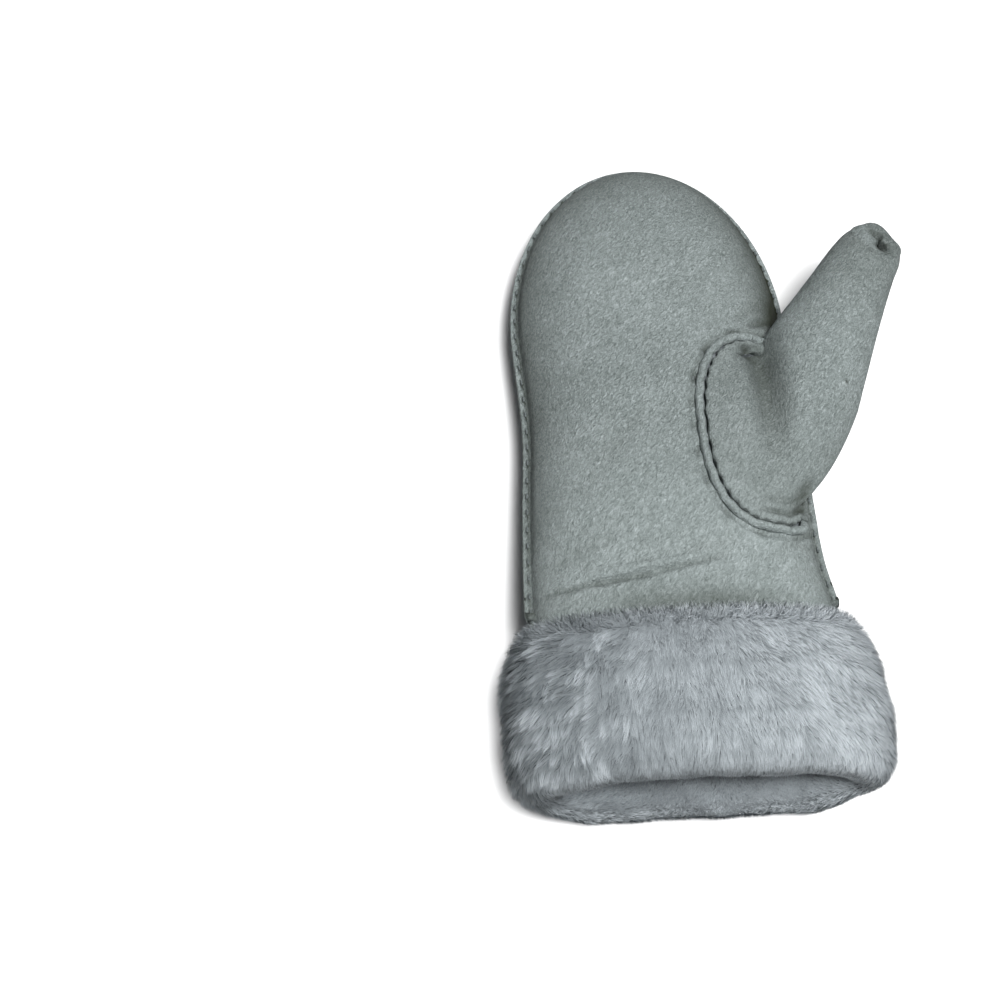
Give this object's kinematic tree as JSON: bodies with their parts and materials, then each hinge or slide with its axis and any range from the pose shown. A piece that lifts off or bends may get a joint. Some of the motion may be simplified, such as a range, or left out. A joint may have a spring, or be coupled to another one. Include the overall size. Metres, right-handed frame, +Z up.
{
  "type": "fleece-lined mitten",
  "caption": "Suede mitten for the right hand, lined with fleece, with a sewn-in thumb and a turned-back fleece cuff, lying palm up.",
  "frame": {"origin": "on the surface that the mitten lies on, under the middle of the palm", "axes": "+Y from the mouth of the cuff to the fingertips, +X towards the thumb, +Z up out of the palm"},
  "size_m": [0.1696, 0.2795, 0.0601],
  "materials": {
    "suede": "brushed suede with a short nap, pale blue grey",
    "fleece": "dense soft sheepskin pile, pale blue grey"
  },
  "bodies": {
    "root": {"palm_panel": "suede", "back_panel": "suede", "thumb": "suede", "lining_fleece": "fleece", "cuff_skin": "suede", "cuff_fleece": "fleece"}
  },
  "joints": []
}
